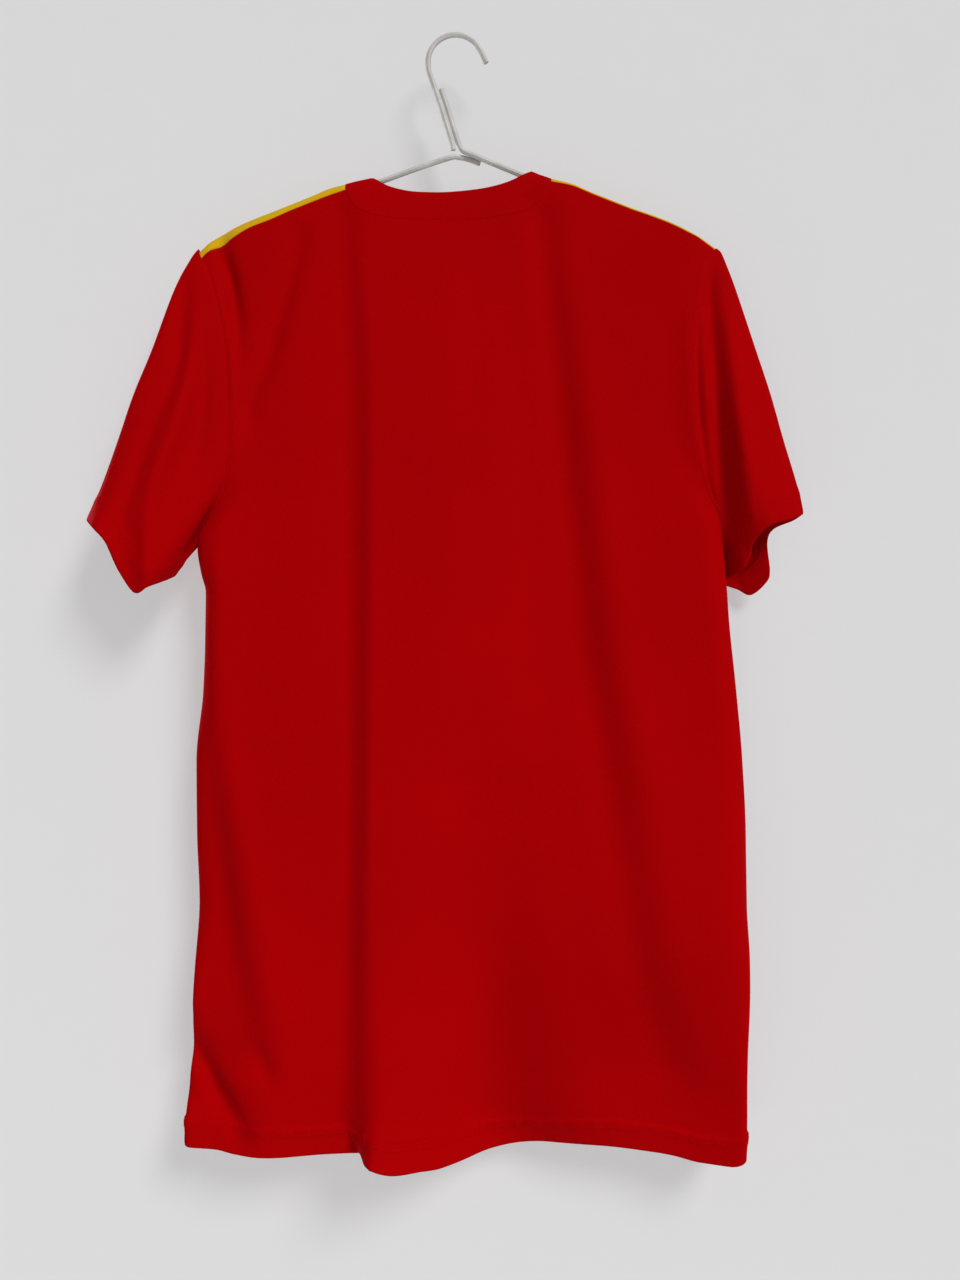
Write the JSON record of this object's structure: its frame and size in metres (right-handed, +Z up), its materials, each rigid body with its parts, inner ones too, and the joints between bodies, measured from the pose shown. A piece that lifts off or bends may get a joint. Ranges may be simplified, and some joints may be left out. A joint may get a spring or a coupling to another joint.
{
  "type": "football jersey on a wire hanger",
  "caption": "Short-sleeved football jersey in red knit with yellow shoulder panels, hung on a white coated wire hanger with an open hook.",
  "frame": {"origin": "seat of the hanger's hook, the underside of the top of its round bend, where a nail or rail carries it", "axes": "+Z up; +X to the wearer's right; +Y from the jersey's back towards its front"},
  "size_m": [0.5673, 0.0894, 0.8882],
  "materials": {
    "red_knit": "soft polyester knit",
    "red_rib": "ribbed knit",
    "yellow_knit": "soft polyester knit",
    "white_coat": "plastic coating on steel wire"
  },
  "bodies": {
    "root": {"back": "red_knit", "front": "red_knit", "sleeve_left": "red_knit", "sleeve_right": "red_knit", "shoulder_left": "yellow_knit", "shoulder_right": "yellow_knit", "collar": "red_rib", "hanger_frame": "white_coat", "hanger_hook": "white_coat"}
  },
  "joints": []
}
